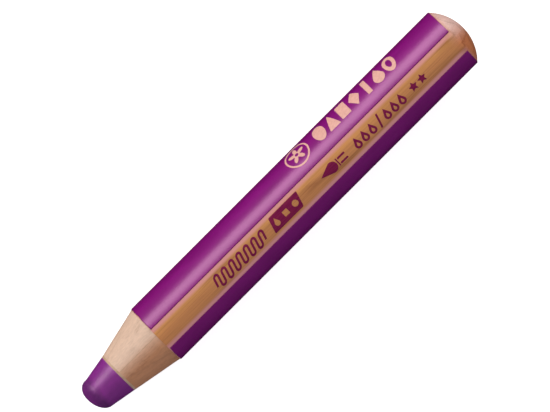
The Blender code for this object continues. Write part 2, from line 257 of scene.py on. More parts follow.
def growth_rings(tree):
    """0 in the pale early wood, rising to 1 at each dark late-wood line."""
    axes = crayon_axes(tree)
    in_thin_half = maths(tree, "GREATER_THAN", past_seam(tree, axes), 0.0)
    wander = speckle(tree, (0.03, 0.16, 0.16), detail=2.0)
    depth = maths(tree, "MULTIPLY_ADD", axes["X"], RING_CLIMB_ALONG, axes["Z"])
    depth = maths(tree, "MULTIPLY_ADD", axes["Y"], RING_CLIMB_ACROSS, depth)
    depth = maths(tree, "MULTIPLY_ADD", in_thin_half, RING_SHIFT * RING_SPACING, depth)
    depth = maths(tree, "MULTIPLY_ADD", wander, RING_WANDER * RING_SPACING, depth)
    return maths(tree, "FRACT", maths(tree, "DIVIDE", depth, RING_SPACING))


def shades(colour):
    """A wood's pale, middle and dark tones from its middle one; the dark one is redder."""
    lighter, darker = 1.16, 0.66
    pale = tuple(part * lighter for part in colour)
    dark = (colour[0] * darker * 1.1, colour[1] * darker, colour[2] * darker * 0.9)
    return pale, colour, dark


def wood_tones(tree, layered, fibrous):
    """Straight-grained wood: growth layers, long fibres, broad clouds. Returns tone, pores, height."""
    rings = ramp(tree, growth_rings(tree), [(0.0, 0.1), (0.72, 0.45), (0.9, 1.0), (1.0, 0.12)])
    fibres = speckle(tree, (0.07, 4.2, 4.2), detail=5.0, roughness=0.62)
    broad = speckle(tree, (0.035, 0.55, 0.55), detail=2.0, shift=(7.0, 3.0, 1.0))
    middle_tone, clouded = 0.36, 1.1
    tone = maths(tree, "MULTIPLY_ADD", maths(tree, "SUBTRACT", rings, middle_tone), layered, middle_tone)
    tone = maths(tree, "MULTIPLY_ADD", about_zero(tree, fibres), fibrous, tone)
    tone = maths(tree, "MULTIPLY_ADD", about_zero(tree, broad), clouded, tone)
    pores = speckle(tree, (0.28, 6.5, 6.5), detail=1.0, shift=(3.0, 9.0, 5.0))
    pores = ramp(tree, pores, [(0.66, 0.0), (0.74, 1.0)])
    return tone, pores, maths(tree, "SUBTRACT", fibres, pores)


def wood_colour(tree, tone, pores, colour):
    pale, middle, dark = shades(colour)
    body = ramp(tree, tone, [(0.0, pale), (0.45, middle), (1.0, dark)])
    pore_darkness = 0.35
    return blend_colours(tree, maths(tree, "MULTIPLY", pores, pore_darkness), body, dark)


# The pale wood and the golden wood of each surface. Besides the wood's own tones, the pale colours hold
# painted light for the lit side and the golden ones painted shade for the shaded side; the dome's pale
# colour is a painted sheen.
CUT_WOOD = (0.645, 0.446, 0.32), (0.53, 0.232, 0.097)
STRIPE_WOOD = (0.525, 0.238, 0.066), (0.46, 0.187, 0.059)
DOME_WOOD = (0.66, 0.433, 0.37), (0.47, 0.152, 0.053)
# A painted highlight beside the paint: its colour on the pale side of the seam and on the golden side
PAINTED_HIGHLIGHT_BESIDE_PAINT = (0.585, 0.245, 0.22), (0.66, 0.275, 0.255)
# How far before and past the seam the pale wood turns golden, in millimetres, and its share at the seam
CUT_SPREAD = (0.9, 2.4, 0.36)
STRIPE_SPREAD = (1.8, 0.9, 0.45)
DOME_SPREAD = (2.4, 1.8, 0.6)
SEAM_JUMP = 0.07  # how far that share jumps, either way, at the seam itself
# A dark streak in the wood, in millimetres: its place, half width and sway across the crayon, and
# where along the crayon it starts and is at its darkest
STREAK_Y, STREAK_HALF, STREAK_SWAY = -0.85, 0.42, 1.4
STREAK_START_X, STREAK_FULL_X = 19.0, 34.0
STREAK_DARKNESS = 0.42


def two_woods_lit_and_shaded(tree, tone, pores, colours, spread):
    """The casing's pale wood and its golden wood, as one colour: painted light in the pale half on the lit
    side, painted shade in the golden half on the shaded side, over the wood's own tones.
    """
    pale, golden = (wood_colour(tree, tone, pores, colour) for colour in colours)
    return blend_colours(tree, golden_and_shaded_share(tree, *spread), pale, golden)


def dark_streak(tree):
    """1 along a dark streak that starts part of the way up the crayon and runs on over the dome."""
    axes = crayon_axes(tree)
    sway = speckle(tree, (0.09, 0.35, 0.35), detail=2.0)
    aside = maths(tree, "SUBTRACT", axes["Y"], STREAK_Y)
    aside = maths(tree, "MULTIPLY_ADD", about_zero(tree, sway), STREAK_SWAY, aside)
    aside = maths(tree, "DIVIDE", maths(tree, "ABSOLUTE", aside), STREAK_HALF)
    near = ramp(tree, aside, [(0.2, 1.0), (1.0, 0.0)])
    reached = maths(tree, "SUBTRACT", axes["X"], STREAK_START_X)
    reached = maths(tree, "DIVIDE", reached, STREAK_FULL_X - STREAK_START_X)
    return maths(tree, "MULTIPLY", near, ramp(tree, reached, [(0.0, 0.0), (1.0, 1.0)]))


def bare_wood():
    """Wood cut by a sharpener: dry, with fine cut marks round it."""
    made, tree, shader = new_material("cut_cedar", 0.5, Specular_IOR_Level=0.8)
    tone, pores, height = wood_tones(tree, layered=0.22, fibrous=1.5)
    # Pale on the lit side and golden on the shaded side: painted light and painted shade over the wood's
    # tones
    put(tree, shader.inputs["Base Color"], two_woods_lit_and_shaded(tree, tone, pores, CUT_WOOD, CUT_SPREAD))
    cuts = speckle(tree, (7.0, 0.5, 0.5), detail=2.0)
    height = maths(tree, "MULTIPLY_ADD", cuts, 0.6, height)
    bump(tree, shader, height, distance=0.03 * MM, strength=0.6)
    return made


def varnished_wood():
    """The same wood under clear varnish, which deepens it to gold; pinker beside the paint, where a
    highlight is painted along each stripe's edges.
    """
    made, tree, shader = new_material("golden_varnished_cedar", 0.42, Specular_IOR_Level=0.5)
    tone, pores, height = wood_tones(tree, layered=0.7, fibrous=2.2)
    tone = maths(tree, "MULTIPLY_ADD", dark_streak(tree), STREAK_DARKNESS, tone)
    # The stripe and the dome take painted light on their pale side and painted shade on their golden side;
    # the dome's pale side is a painted sheen
    stripe = two_woods_lit_and_shaded(tree, tone, pores, STRIPE_WOOD, STRIPE_SPREAD)
    dome = two_woods_lit_and_shaded(tree, tone, pores, DOME_WOOD, DOME_SPREAD)
    body = blend_colours(tree, stored_share(tree, "on_dome"), stripe, dome)
    # The painted highlight along each stripe's edges, blended in below
    edge = blend_colours(tree, golden_and_shaded_share(tree, *STRIPE_SPREAD), *PAINTED_HIGHLIGHT_BESIDE_PAINT)
    body = blend_colours(tree, stored_share(tree, "painted_highlight_beside_paint"), body, edge)
    put(tree, shader.inputs["Base Color"], body)
    bump(tree, shader, height, distance=0.012 * MM, strength=0.5)
    return made


def purple_lacquer():
    """Glossy paint in a few thin coats: faint mottling, and the wood's grain just felt through it."""
    made, tree, shader = new_material(
        "glossy_purple_paint", 0.33, Specular_IOR_Level=0.62, Specular_Tint=(1.0, 0.0, 0.8, 1.0),
        Coat_IOR=1.68, Coat_Weight=1.0, Coat_Roughness=0.3,
    )
    cloud = speckle(tree, (0.12, 0.5, 0.5))
    body = mottled(tree, cloud, (0.194, 0.0005, 0.150), (0.228, 0.0010, 0.177))
    rim_colour = (0.13, 0.003, 0.07)
    body = blend_colours(tree, stored_share(tree, "paint_rim"), body, rim_colour)
    put(tree, shader.inputs["Base Color"], body)
    grain = speckle(tree, (0.05, 2.2, 2.2))
    peel = speckle(tree, (0.9, 0.9, 0.9), detail=1.0)
    bump(tree, shader, maths(tree, "ADD", grain, peel), distance=0.006 * MM, strength=0.5)
    return made


def purple_wax():
    """Wax with soft sheen, cloudy colour and fine rubbing marks; duller where it is worn, and darker in a
    ring round the worn nose, which is painted shade.
    """
    made, tree, shader = new_material(
        "pigmented_wax", 0.4, Specular_IOR_Level=1.0, Specular_Tint=(1.0, 0.5, 1.0, 1.0),
        Coat_IOR=1.8, Coat_Roughness=0.4, Subsurface_Weight=0.25, Subsurface_Scale=1.0,
        Subsurface_Radius=(1.6 * MM, 0.9 * MM, 1.6 * MM),
    )
    from_tip = maths(tree, "SUBTRACT", crayon_axes(tree)["X"], TIP_X / MM)
    cloud = speckle(tree, (0.5, 0.8, 0.8), detail=4.0)
    ragged_by = 2.5  # millimetres
    ragged = maths(tree, "MULTIPLY_ADD", about_zero(tree, cloud), ragged_by, from_tip)
    worn_and_shaded_share = maths(tree, "DIVIDE", ragged, WORN_AND_SHADED_LENGTH)
    worn = ramp(tree, worn_and_shaded_share, [(0.35, 1.0), (1.0, 0.0)])
    # A painted shade ring round the nose, where the rounded wax turns away from the light; its darker colour
    # is painted shade, not wear
    ring = ramp(tree, worn_and_shaded_share, [(0.05, 0.15), (0.32, 1.0), (0.52, 1.0), (0.85, 0.0)])
    body = mottled(tree, cloud, (0.215, 0.009, 0.225), (0.27, 0.014, 0.28))
    dark = mottled(tree, cloud, (0.115, 0.007, 0.135), (0.155, 0.011, 0.17))
    put(tree, shader.inputs["Base Color"], blend_colours(tree, ring, body, dark))
    rubbed = speckle(tree, (0.5, 5.0, 5.0), detail=4.0, roughness=0.65)
    crumbs = speckle(tree, (4.0, 4.0, 4.0))
    height = maths(tree, "MULTIPLY_ADD", crumbs, 0.5, rubbed)
    bump(tree, shader, height, distance=0.03 * MM, strength=0.5)
    smoothest, rubbed_rougher, worn_rougher = 0.3, 0.2, 0.25
    dull = maths(tree, "MULTIPLY_ADD", rubbed, rubbed_rougher, smoothest)
    put(tree, shader.inputs["Roughness"], maths(tree, "MULTIPLY_ADD", worn, worn_rougher, dull))
    sheen, sheen_lost = 0.85, 0.75
    put(tree, shader.inputs["Coat Weight"], maths(tree, "MULTIPLY_ADD", worn, -sheen_lost, sheen))
    return made


def dried_glue():
    made, tree, shader = new_material("hardened_glue", 0.4, Specular_IOR_Level=0.5)
    body = mottled(tree, speckle(tree, (0.8, 0.8, 0.8)), (0.42, 0.27, 0.16), (0.56, 0.40, 0.26))
    put(tree, shader.inputs["Base Color"], body)
    return made


def pale_foil():
    """Hot-stamped foil: satin, a little uneven, rubbed thin in specks."""
    made, tree, shader = new_material("stamped_foil", 0.38, Specular_IOR_Level=0.5)
    cloud = speckle(tree, (1.6, 1.6, 1.6), detail=4.0)
    body = mottled(tree, cloud, (0.60, 0.315, 0.255), (0.70, 0.385, 0.31))
    rubbed_through = (0.32, 0.10, 0.16)
    specks = ramp(tree, speckle(tree, (5.5, 5.5, 5.5), detail=2.0), [(0.68, 0.0), (0.76, 0.6)])
    put(tree, shader.inputs["Base Color"], blend_colours(tree, specks, body, rubbed_through))
    bump(tree, shader, cloud, distance=0.008 * MM, strength=0.5)
    return made


def dark_ink():
    """Stamped ink that lets a little of the wood's grain through."""
    made, tree, shader = new_material("stamped_ink", 0.5, Specular_IOR_Level=0.1)
    fibres = speckle(tree, (0.25, 4.2, 4.2), detail=4.0)
    body = ramp(tree, fibres, [(0.35, (0.135, 0.002, 0.045)), (0.72, (0.21, 0.014, 0.055))])
    put(tree, shader.inputs["Base Color"], body)
    bump(tree, shader, fibres, distance=0.008 * MM, strength=0.4)
    return made


def pale_floor():
    return new_material(
        "pale_floor", 0.9, Specular_IOR_Level=0.1, Base_Color=(0.9, 0.9, 0.9, 1.0),
        Emission_Color=(1.0, 1.0, 1.0, 1.0), Emission_Strength=FLOOR_GLOW,
    )[0]


# ---- Turned pieces ------------------------------------------------------------------------------

def angle_of(point):
    """A point's angle round the crayon, in degrees from straight up towards -Y."""
    return math.degrees(math.atan2(-point.y, point.z - AXIS_Z))


def along(start, end, pieces):
    """Points from start up to, but not including, end."""
    return [tuple(a + (b - a) * i / pieces for a, b in zip(start, end)) for i in range(pieces)]


def dome_arc(edge_radius, height, steps=28):
    """The dome from its edge at the barrel's end to its top on the axis, as a round cap."""
    sphere = (edge_radius**2 + height**2) / (2 * height)
    half_angle = math.asin(edge_radius / sphere)
    centre_x = BARREL_END_X + height - sphere
    angles = [half_angle * (1 - i / steps) for i in range(steps)]
    arc = [(centre_x + sphere * math.cos(a), sphere * math.sin(a)) for a in angles]
    return arc + [(BARREL_END_X + height, 0.0)]


def casing_profile():
    groove_end = [(GROOVE_END_X, 0.0), (GROOVE_END_X, GROOVE_RADIUS)]
    cone = along((cone_x(GROOVE_RADIUS), GROOVE_RADIUS), (BARREL_START_X, WOOD_RADIUS), pieces=44)
    dome = dome_arc(WOOD_RADIUS, DOME_HEIGHT - VARNISH - GAP, steps=12)
    return groove_end + cone + [(BARREL_START_X, WOOD_RADIUS)] + dome


def lead_profile():
    nose_x = TIP_X + NOSE_DEPTH
    steps = 28
    angles = [math.radians(90) * i / steps for i in range(steps)]
    nose = [(nose_x - NOSE_DEPTH * math.cos(a), NOSE_RADIUS * math.sin(a)) for a in angles]
    shoulder = (cone_x(LEAD_RADIUS), LEAD_RADIUS)
    taper = along((nose_x, NOSE_RADIUS), shoulder, pieces=24)
    return nose + taper + [shoulder, (GROOVE_END_X, LEAD_RADIUS), (GROOVE_END_X, 0.0)]


def rounded_corner(before, corner, after, radius):
    """Points along a soft curve in place of a corner between two neighbours."""
    here = Vector(corner)
    back, forth = Vector(before) - here, Vector(after) - here
    cut = min(radius, back.length * 0.4, forth.length * 0.4)
    start, end = here + back.normalized() * cut, here + forth.normalized() * cut
    shares = [step / CORNER_STEPS for step in range(CORNER_STEPS + 1)]
    return [tuple(start * (1 - t) ** 2 + here * (2 * t * (1 - t)) + end * t**2) for t in shares]


def coat_profile():
    """The varnish: a cup over the barrel and the dome, with a soft edge between the two."""
    dome_edge, *dome = dome_arc(COAT_RADIUS, DOME_HEIGHT)
    dome_rest = dome[2:]  # the rounded edge takes the place of the first points
    barrel_end = (BARREL_END_X - EDGE_ROUND, COAT_RADIUS)
    edge = rounded_corner(barrel_end, dome_edge, dome_rest[0], EDGE_ROUND)
    outside = along((BARREL_START_X, COAT_RADIUS), barrel_end, pieces=60) + edge + dome_rest
    inside_radius = COAT_RADIUS - VARNISH
    inside_dome = dome_arc(inside_radius, DOME_HEIGHT - VARNISH, steps=12)
    return inside_dome[::-1] + [(BARREL_START_X, inside_radius)] + outside


def glue_ring_profile():
    inside, outside = LEAD_RADIUS, LEAD_GLUE_RADIUS
    cut_edge = [(cone_x(inside), inside), (cone_x(outside), outside)]
    return cut_edge + [(GROOVE_END_X, outside), (GROOVE_END_X, inside)]


def turned_mesh(profile, closed=False):
    """A profile of places along the axis and radii, turned full circle round the barrel's axis."""
    bm = bmesh.new()
    points = [bm.verts.new((x, 0.0, radius)) for x, radius in profile]
    pairs = list(zip(points, points[1:]))
    if closed:
        pairs.append((points[-1], points[0]))
    edges = [bm.edges.new(pair) for pair in pairs]
    turn = {"cent": (0, 0, 0), "axis": (1, 0, 0), "angle": math.radians(360), "steps": ROUND_STEPS}
    bmesh.ops.spin(bm, geom=points + edges, **turn)
    bmesh.ops.remove_doubles(bm, verts=bm.verts, dist=1e-7)
    bmesh.ops.translate(bm, verts=bm.verts, vec=(0, 0, AXIS_Z))
    return bm


def finish_mesh(name, bm, look, sharp=35.0):
    """A piece with its material, smooth but for edges that turn by more than this many degrees."""
    bmesh.ops.recalc_face_normals(bm, faces=bm.faces)
    mesh = bpy.data.meshes.new(name)
    bm.to_mesh(mesh)
    bm.free()
    mesh.shade_smooth()
    mesh.set_sharp_from_angle(angle=math.radians(sharp))
    mesh.materials.clear()
    mesh.materials.append(look)
    piece = bpy.data.objects.new(name, mesh)
    bpy.context.scene.collection.objects.link(piece)
    return piece


def enlist(piece, slot_name, *nodes):
    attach(piece, "root")
    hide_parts(*nodes)


def push_out(vert, distance):
    """Move a vertex away from the barrel's axis."""
    away = Vector((0.0, vert.co.y, vert.co.z - AXIS_Z))
    if away.length > 1e-6:
        vert.co += away.normalized() * distance


def move_to_lead(bm):
    """Move a mesh from the barrel's axis to the lead's, less and less up the cone."""
    start = cone_x(GROOVE_RADIUS)
    for vert in bm.verts:
        radius = math.hypot(vert.co.y, vert.co.z - AXIS_Z)
        outside_groove = radius > GROOVE_RADIUS + GAP
        past_groove = vert.co.x > GROOVE_END_X + GAP
        if vert.co.x > BARREL_START_X + GAP and (outside_groove or past_groove):
            continue
        up_cone = held((vert.co.x - start) / (BARREL_START_X - start)) if outside_groove else 0.0
        vert.co += TO_LEAD * (1 - up_cone)


def carve_fibres(bm, depth):
    """Long shallow ridges where the sharpener's blade left the wood's fibres on the cone."""
    start = cone_x(GROOVE_RADIUS)
    fineness_along, fineness_round = 120, 9
    for vert in bm.verts:
        y, z = vert.co.y, vert.co.z - AXIS_Z
        radius = math.hypot(y, z)
        if vert.co.x > BARREL_START_X or radius < GROOVE_RADIUS + GAP:
            continue
        fade = min(1.0, (BARREL_START_X - vert.co.x) / (1.5 * MM), (vert.co.x - start) / MM)
        spot = Vector((vert.co.x * fineness_along, y / radius * fineness_round, z / radius * fineness_round))
        push_out(vert, depth * fade * noise.noise(spot))


def build_casing(look):
    """Two halves of one turned shape, each cut back a little from the seam."""
    for half, side in (("thin", 1), ("thick", -1)):
        bm = turned_mesh(casing_profile(), closed=True)
        carve_fibres(bm, 0.035 * MM)
        move_to_lead(bm)
        everything = bm.verts[:] + bm.edges[:] + bm.faces[:]
        place = Vector((0, 0, AXIS_Z)) + TO_LEAD + side * SEAM_HALF * ACROSS_SEAM
        facing = -side * ACROSS_SEAM
        cut = bmesh.ops.bisect_plane(bm, geom=everything, plane_co=place, plane_no=facing, clear_outer=True)
        rim = [item for item in cut["geom_cut"] if isinstance(item, bmesh.types.BMEdge)]
        bmesh.ops.holes_fill(bm, edges=rim)
        enlist(finish_mesh(f"{half}_casing_half", bm, look), "cedar_wood", f"casing_half_{half}")


def build_seam(look):
    """The glue line: a thin sheet between the halves, flush with the cone."""
    reach = cone_x(GROOVE_RADIUS)
    half = [(GROOVE_END_X, GROOVE_RADIUS), (reach, GROOVE_RADIUS), (BARREL_START_X, WOOD_RADIUS - GAP)]
    half += dome_arc(WOOD_RADIUS - GAP, DOME_HEIGHT - VARNISH - 2 * GAP, steps=12)
    outline = half + [(x, -out) for x, out in half[-2::-1]]
    base = Vector((0, 0, AXIS_Z)) + TO_LEAD - SEAM_HALF * ACROSS_SEAM
    bm = bmesh.new()
    face = bm.faces.new([bm.verts.new(base + Vector((x, 0, 0)) + out * ALONG_SEAM) for x, out in outline])
    raised = bmesh.ops.extrude_face_region(bm, geom=[face])
    top = [item for item in raised["geom"] if isinstance(item, bmesh.types.BMVert)]
    bmesh.ops.translate(bm, verts=top, vec=2 * SEAM_HALF * ACROSS_SEAM)
    enlist(finish_mesh("glue_line", bm, look), "wood_glue", "seam_glue")


def wear_nose(bm):
    """Push the lead's nose over to one side, and leave the shallow dents of use on it."""
    reach, dent, scuff = 4.5 * MM, 0.12 * MM, 0.06 * MM
    dent_fineness = 420
    for vert in bm.verts:
        back = vert.co.x - TIP_X
        if back > reach:
            continue
        vert.co -= max(0.0, 1 - back / NOSE_DEPTH) * NOSE_LEAN * ACROSS_SEAM
        worn = (1 - back / reach) ** 2
        spot = vert.co * dent_fineness
        vert.co.x += dent * worn * max(0.0, noise.noise(spot))
        push_out(vert, scuff * worn * noise.noise(spot * 1.7))


def build_lead(look, glue):
    bm = turned_mesh(lead_profile())
    move_to_lead(bm)
    wear_nose(bm)
    enlist(finish_mesh("wax_lead", bm, look, sharp=50.0), "wax_lead", "lead_core")
    ring = turned_mesh(glue_ring_profile(), closed=True)
    move_to_lead(ring)
    enlist(finish_mesh("glue_ring", ring, glue), "wood_glue", "lead_glue")


def build_coat(look):
    """The varnish, with two shares on its points: how near the paint each is, as the strength of the painted
    highlight there, and how far up the dome each is.
    """
    bm = turned_mesh(coat_profile(), closed=True)
    coat = finish_mesh("varnished_stripes_and_dome", bm, look)
    beside = coat.data.attributes.new("painted_highlight_beside_paint", "FLOAT", "POINT")
    domed = coat.data.attributes.new("on_dome", "FLOAT", "POINT")
    for vert, edge, end in zip(coat.data.vertices, beside.data, domed.data):
        from_stripe = abs((angle_of(vert.co) + REPEAT_ANGLE / 2) % REPEAT_ANGLE - REPEAT_ANGLE / 2)
        to_paint = max(0.0, STRIPE_ANGLE / 2 - from_stripe)
        up_dome = held((vert.co.x - BARREL_END_X + DOME_TONE_BEFORE) / DOME_TONE_LENGTH)
        # How strong the painted highlight beside the paint is at this point
        in_highlight_line = held((HIGHLIGHT_LINE_GONE - to_paint) / (HIGHLIGHT_LINE_GONE - HIGHLIGHT_LINE_FULL))
        edge.value = in_highlight_line * (1 - up_dome)
        end.value = up_dome
    enlist(coat, "clear_varnish", "varnish_coat")


# ---- Geometry nodes -----------------------------------------------------------------------------

def new_tree(name, inputs):
    """A geometry tree with its inputs: each is a name, a kind of socket and a value."""
    tree = bpy.data.node_groups.new(name, "GeometryNodeTree")
    tree.interface.new_socket("Geometry", in_out="INPUT", socket_type="NodeSocketGeometry")
    for label, kind, value in inputs:
        socket = tree.interface.new_socket(label, in_out="INPUT", socket_type="NodeSocket" + kind)
        if value is not None:
            socket.default_value = value
    tree.interface.new_socket("Geometry", in_out="OUTPUT", socket_type="NodeSocketGeometry")
    given = tree.nodes.new("NodeGroupInput").outputs
    return tree, given


def close_tree(tree, geometry, look):
    """Every tree ends the same way: real geometry, then its material."""
    realized = add_node(tree, "GeometryNodeRealizeInstances", {"Geometry": geometry})
    painted = add_node(tree, "GeometryNodeSetMaterial", {"Geometry": realized.outputs[0], "Material": look})
    end = tree.nodes.new("NodeGroupOutput")
    tree.links.new(painted.outputs[0], end.inputs[0])


def grown(name, source, tree, values, look):
    """The plain mesh that a tree makes from a source object, as a finished piece."""
    bpy.context.scene.collection.objects.link(source)
    modifier = source.modifiers.new("grow", "NODES")
    modifier.node_group = tree
    labels = {item.name: item.identifier for item in tree.interface.items_tree if item.in_out == "INPUT"}
    for label, value in {**values, "Material": look}.items():
        modifier[labels[label]] = value
    graph = bpy.context.evaluated_depsgraph_get()
    mesh = bpy.data.meshes.new_from_object(source.evaluated_get(graph))
    source.modifiers.remove(modifier)
    bpy.data.objects.remove(source)
    bm = bmesh.new()
    bm.from_mesh(mesh)
    bpy.data.meshes.remove(mesh)
    return finish_mesh(name, bm, look)


def thickened(tree, flat):
    """A closed plate from a flat sheet: its copy raised by one unit, the sides, and a turned base."""
    up = {"Mesh": flat, "Offset": (0.0, 0.0, 1.0), "Offset Scale": 1.0, "Individual": False}
    raised = add_node(tree, "GeometryNodeExtrudeMesh", up, mode="FACES").outputs["Mesh"]
    base = add_node(tree, "GeometryNodeFlipFaces", {"Mesh": flat}).outputs["Mesh"]
    joined = tree.nodes.new("GeometryNodeJoinGeometry")
    tree.links.new(raised, joined.inputs[0])
    tree.links.new(base, joined.inputs[0])
    merged = add_node(tree, "GeometryNodeMergeByDistance", {"Geometry": joined.outputs[0], "Distance": 1e-7})
    return merged.outputs[0]


def own_place(tree):
    """X, Y and Z of each point before it is moved."""
    place = tree.nodes.new("GeometryNodeInputPosition").outputs[0]
    return add_node(tree, "ShaderNodeSeparateXYZ", {"Vector": place}).outputs


def only_x(tree, x):
    return add_node(tree, "ShaderNodeCombineXYZ", {"X": x}).outputs[0]


def bend_round(tree, solid, x, radius, angle):
    """Move every point to its place along and round the crayon; the angle is in radians."""
    y = maths(tree, "MULTIPLY", maths(tree, "MULTIPLY", radius, maths(tree, "SINE", angle)), -1.0)
    z = maths(tree, "MULTIPLY_ADD", radius, maths(tree, "COSINE", angle), AXIS_Z)
    place = add_node(tree, "ShaderNodeCombineXYZ", {"X": x, "Y": y, "Z": z}).outputs[0]
    return add_node(tree, "GeometryNodeSetPosition", {"Geometry": solid, "Position": place}).outputs[0]


def crowded(tree, place, power):
    """Spread places from -0.5 to 0.5 so that they crowd towards both ends."""
    side = maths(tree, "SIGN", place)
    inward = maths(tree, "SUBTRACT", 1.0, maths(tree, "MULTIPLY", maths(tree, "ABSOLUTE", place), 2.0))
    outward = maths(tree, "SUBTRACT", 1.0, maths(tree, "POWER", maths(tree, "MAXIMUM", inward, 0.0), power))
    return maths(tree, "MULTIPLY", maths(tree, "MULTIPLY", outward, side), 0.5)


def band_tree():
    """A painted band: a strip of film round part of the barrel, with a soft lip all round."""
    tree, given = new_tree("painted_band", [
        ("Start X", "Float", 0.0), ("End X", "Float", 0.1), ("Wander", "Float", 0.0),
        ("Inside Radius", "Float", 0.01), ("Film", "Float", 0.0001), ("Middle Angle", "Float", 0.0),
        ("Sweep", "Float", 1.0), ("Lip", "Float", 0.0002), ("Rim Height", "Float", 0.35),
        ("Steps Along", "Int", 60), ("Steps Round", "Int", 80), ("Material", "Material", None),
    ])
    grid = {"Size X": 1.0, "Size Y": 1.0}
    grid.update({"Vertices X": given["Steps Along"], "Vertices Y": given["Steps Round"]})
    solid = thickened(tree, add_node(tree, "GeometryNodeMeshGrid", grid).outputs["Mesh"])
    spot = own_place(tree)
    length_share = maths(tree, "ADD", crowded(tree, spot["X"], power=2.5), 0.5)
    round_share = crowded(tree, spot["Y"], power=2.0)
    angle = maths(tree, "MULTIPLY_ADD", round_share, given["Sweep"], given["Middle Angle"])
    around = {"Vector": only_x(tree, angle), "Scale": 3.5, "Detail": 3.0}
    wave = about_zero(tree, add_node(tree, "ShaderNodeTexNoise", around).outputs["Fac"])
    start = maths(tree, "MULTIPLY_ADD", wave, given["Wander"], given["Start X"])
    length = maths(tree, "SUBTRACT", given["End X"], start)
    x = maths(tree, "MULTIPLY_ADD", length_share, length, start)
    arc = maths(tree, "MULTIPLY", given["Sweep"], given["Inside Radius"])
    to_side = maths(tree, "SUBTRACT", 0.5, maths(tree, "ABSOLUTE", round_share))
    side_room = maths(tree, "MULTIPLY", to_side, arc)
    to_front, to_back = maths(tree, "SUBTRACT", x, start), maths(tree, "SUBTRACT", given["End X"], x)
    end_room = maths(tree, "MINIMUM", to_back, to_front)
    room = maths(tree, "MAXIMUM", maths(tree, "MINIMUM", side_room, end_room), 0.0)
    near = maths(tree, "MINIMUM", maths(tree, "DIVIDE", room, given["Lip"]), 1.0)
    far = maths(tree, "SUBTRACT", 1.0, near)
    shoulder = maths(tree, "SQRT", maths(tree, "SUBTRACT", 1.0, maths(tree, "MULTIPLY", far, far)))
    rise = maths(tree, "SUBTRACT", 1.0, given["Rim Height"])
    height = maths(tree, "MULTIPLY_ADD", shoulder, rise, given["Rim Height"])
    film = maths(tree, "MULTIPLY", maths(tree, "MULTIPLY", height, given["Film"]), spot["Z"])
    radius = maths(tree, "ADD", given["Inside Radius"], film)
    rim = {"Geometry": solid, "Name": "paint_rim", "Value": far}
    marked = add_node(tree, "GeometryNodeStoreNamedAttribute", rim, data_type="FLOAT", domain="POINT")
    close_tree(tree, bend_round(tree, marked.outputs[0], x, radius, angle), given["Material"])
    return tree


def mark_tree():
    """A stamped mark or a row of them: a flat outline filled, made into a film and bent to the barrel."""
    tree, given = new_tree("stamped_mark", [
        ("Count", "Int", 1), ("Pitch", "Float", 0.0), ("Centre X", "Float", 0.0),
        ("Angle", "Float", 0.0), ("Surface Radius", "Float", 0.01), ("Film", "Float", 0.0001),
        ("Fineness", "Int", 2), ("Material", "Material", None),
    ])
    filled = add_node(tree, "GeometryNodeFillCurve", {"Curve": given["Geometry"]}).outputs["Mesh"]
    finer = {"Mesh": filled, "Level": given["Fineness"]}
    fine = add_node(tree, "GeometryNodeSubdivideMesh", finer).outputs["Mesh"]
    spread = maths(tree, "MULTIPLY", given["Pitch"], maths(tree, "SUBTRACT", given["Count"], 1.0))
    first = only_x(tree, maths(tree, "MULTIPLY", spread, -0.5))
    steps = {"Count": given["Count"], "Start Location": first, "Offset": only_x(tree, given["Pitch"])}
    line = add_node(tree, "GeometryNodeMeshLine", steps).outputs["Mesh"]
    row = add_node(tree, "GeometryNodeInstanceOnPoints", {"Points": line, "Instance": fine})
    flat = add_node(tree, "GeometryNodeRealizeInstances", {"Geometry": row.outputs["Instances"]})
    solid = thickened(tree, flat.outputs[0])
    spot = own_place(tree)
    x = maths(tree, "ADD", spot["X"], given["Centre X"])
    radius = maths(tree, "MULTIPLY_ADD", spot["Z"], given["Film"], given["Surface Radius"])
    turn_back = maths(tree, "DIVIDE", spot["Y"], given["Surface Radius"])
    angle = maths(tree, "SUBTRACT", given["Angle"], turn_back)
    close_tree(tree, bend_round(tree, solid, x, radius, angle), given["Material"])
    return tree


def build_bands(look):
    tree = band_tree()
    for number in range(STRIPES):
        middle = (number + 0.5) * REPEAT_ANGLE
        values = {
            "Start X": BARREL_START_X + PAINT_BACK, "End X": BARREL_END_X, "Wander": PAINT_WANDER,
            "Inside Radius": PAINT_INSIDE, "Film": BARREL_RADIUS - PAINT_INSIDE,
            "Middle Angle": math.radians(middle), "Sweep": math.radians(REPEAT_ANGLE - STRIPE_ANGLE),
            "Lip": PAINT_LIP, "Rim Height": PAINT_RIM_HEIGHT, "Steps Along": 72, "Steps Round": 96,
        }
        source = bpy.data.objects.new("band_source", bpy.data.meshes.new("band_source"))
        piece = grown(f"painted_band_{number + 1}", source, tree, values, look)
        enlist(piece, "purple_lacquer", f"lacquer_band_{number + 1}")


# ---- Outlines of the marks: closed lists of (along, up) -----------------------------------------

SLANT = 0.3  # how far a slanted mark leans forward, per unit of its height


def ellipse(half_width, half_height, points=48):
    angles = [2 * math.pi * i / points for i in range(points)]
    return [(half_width * math.cos(a), half_height * math.sin(a)) for a in angles]


def disc(radius, points=48):
    return ellipse(radius, radius, points)


def slab(width, height, slant=0.0):
    lean = slant * height / 2
    right, top = width / 2, height / 2
    return [(-right - lean, -top), (right - lean, -top), (right + lean, top), (-right + lean, top)]


def softened(corners, radius):
    """The outline with its corners rounded off."""
    neighbours = zip(corners[-1:] + corners[:-1], corners, corners[1:] + corners[:1])
    return [point for trio in neighbours for point in rounded_corner(*trio, radius)]


def drop(radius, height, steps=32):
    """A round belly and a point at the top."""
    centre = radius - height / 2
    tangent = math.asin(radius / (height - radius))
    start = math.pi - tangent
    sweep = math.pi + 2 * tangent
    angles = [start + sweep * i / steps for i in range(steps + 1)]
    return [(radius * math.cos(a), centre + radius * math.sin(a)) for a in angles] + [(0.0, height / 2)]


